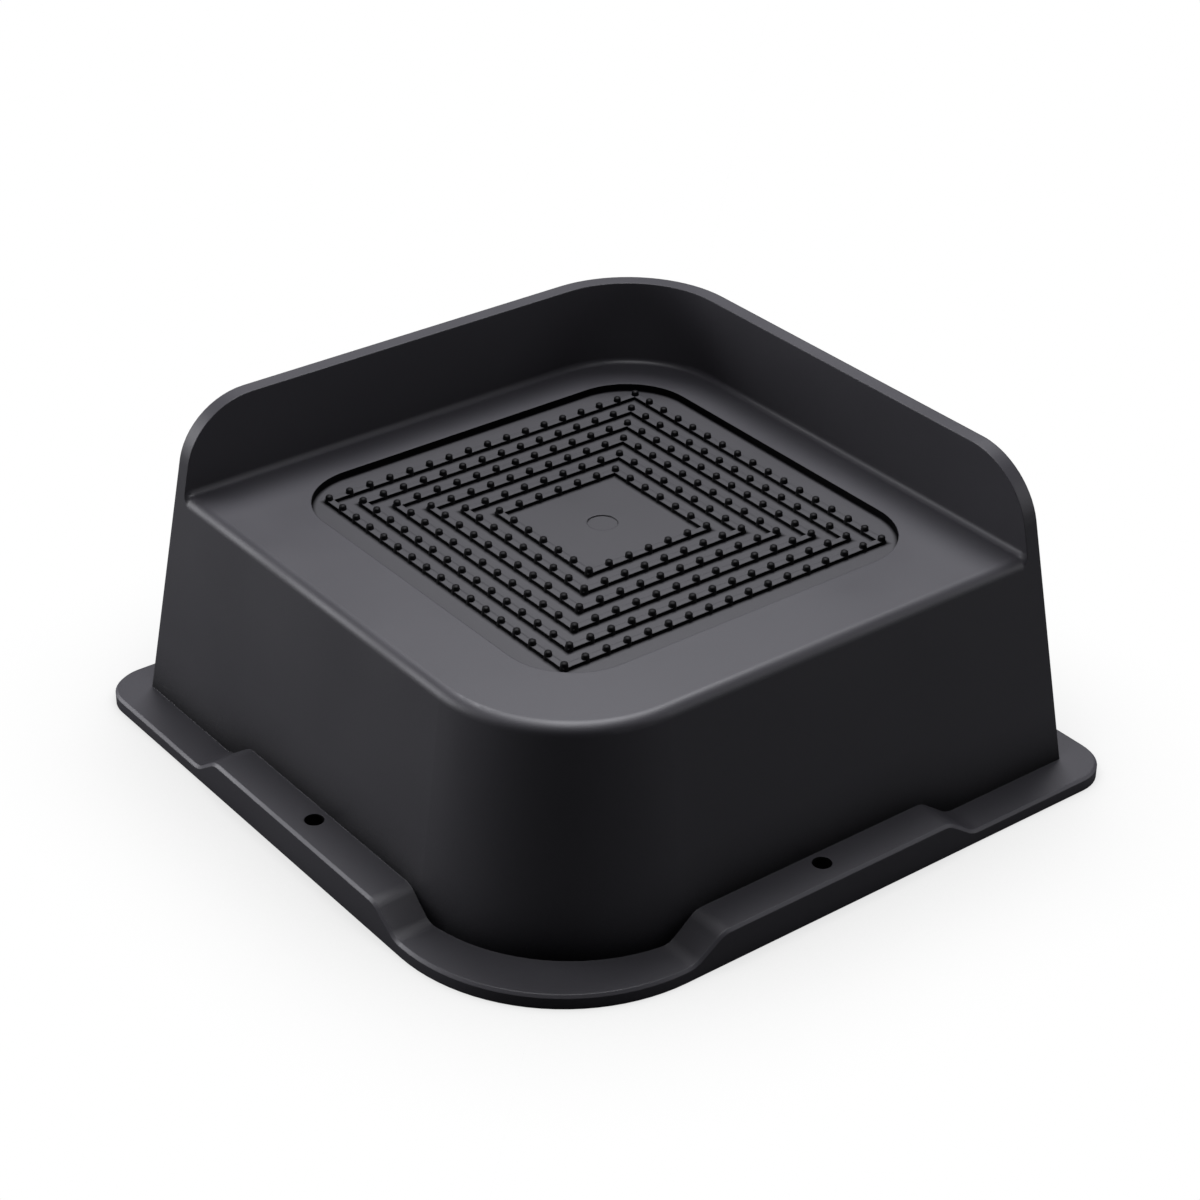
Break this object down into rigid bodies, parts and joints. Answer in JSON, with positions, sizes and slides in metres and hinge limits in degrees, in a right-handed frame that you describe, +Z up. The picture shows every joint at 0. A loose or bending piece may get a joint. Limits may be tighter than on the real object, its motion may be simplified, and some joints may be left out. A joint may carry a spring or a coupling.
{
  "type": "bed riser",
  "caption": "Square drafted riser that lifts a bed or sofa leg, with a corner wall round the leg's seat, a ridged recess and a screw-down flange.",
  "frame": {"origin": "centre of the flange's underside, on the floor", "axes": "+Z up; the corner wall stands along the +X and +Y sides, and the open rounded corner points to -X and -Y"},
  "size_m": [0.1528, 0.1528, 0.072],
  "materials": {
    "body_plastic": "fine-grained matt black polypropylene"
  },
  "bodies": {
    "root": {"bed_riser": "body_plastic"}
  },
  "joints": []
}
